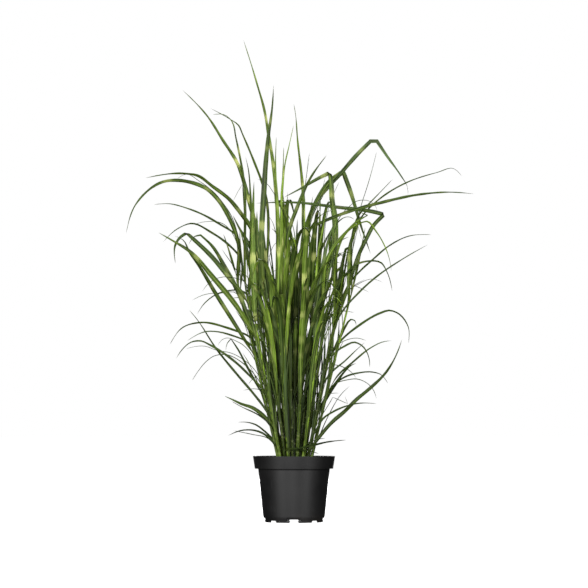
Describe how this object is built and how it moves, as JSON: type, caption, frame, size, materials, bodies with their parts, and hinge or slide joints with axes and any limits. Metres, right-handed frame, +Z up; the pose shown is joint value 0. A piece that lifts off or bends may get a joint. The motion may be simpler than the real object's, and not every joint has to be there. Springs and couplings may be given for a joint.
{
  "type": "potted ornamental grass clump",
  "caption": "Tall clump of cross-banded ornamental grass with arching blades, growing in a round black plastic nursery pot filled with soil.",
  "frame": {"origin": "on the floor, at the axis of the round pot", "axes": "+Z up along the pot's axis; -Y is the side shown in front; X runs across the front view"},
  "size_m": [0.805, 0.7406, 1.116],
  "materials": {
    "pot_plastic": "matte",
    "soil": "matte",
    "foliage": "satin"
  },
  "bodies": {
    "root": {"pot": "pot_plastic", "potting_soil": "soil", "shoot_01": "foliage", "shoot_02": "foliage", "shoot_03": "foliage", "shoot_04": "foliage", "shoot_05": "foliage", "shoot_06": "foliage", "shoot_07": "foliage", "shoot_08": "foliage", "shoot_09": "foliage", "shoot_10": "foliage", "shoot_11": "foliage", "shoot_12": "foliage", "shoot_13": "foliage", "shoot_14": "foliage", "shoot_15": "foliage", "shoot_16": "foliage", "shoot_17": "foliage", "shoot_18": "foliage", "shoot_19": "foliage", "shoot_20": "foliage", "shoot_21": "foliage", "shoot_22": "foliage", "shoot_23": "foliage", "shoot_24": "foliage", "shoot_25": "foliage", "shoot_26": "foliage", "shoot_27": "foliage", "shoot_28": "foliage", "shoot_29": "foliage", "shoot_30": "foliage", "shoot_31": "foliage", "shoot_32": "foliage", "shoot_33": "foliage", "shoot_34": "foliage", "shoot_35": "foliage", "shoot_36": "foliage"}
  },
  "joints": []
}
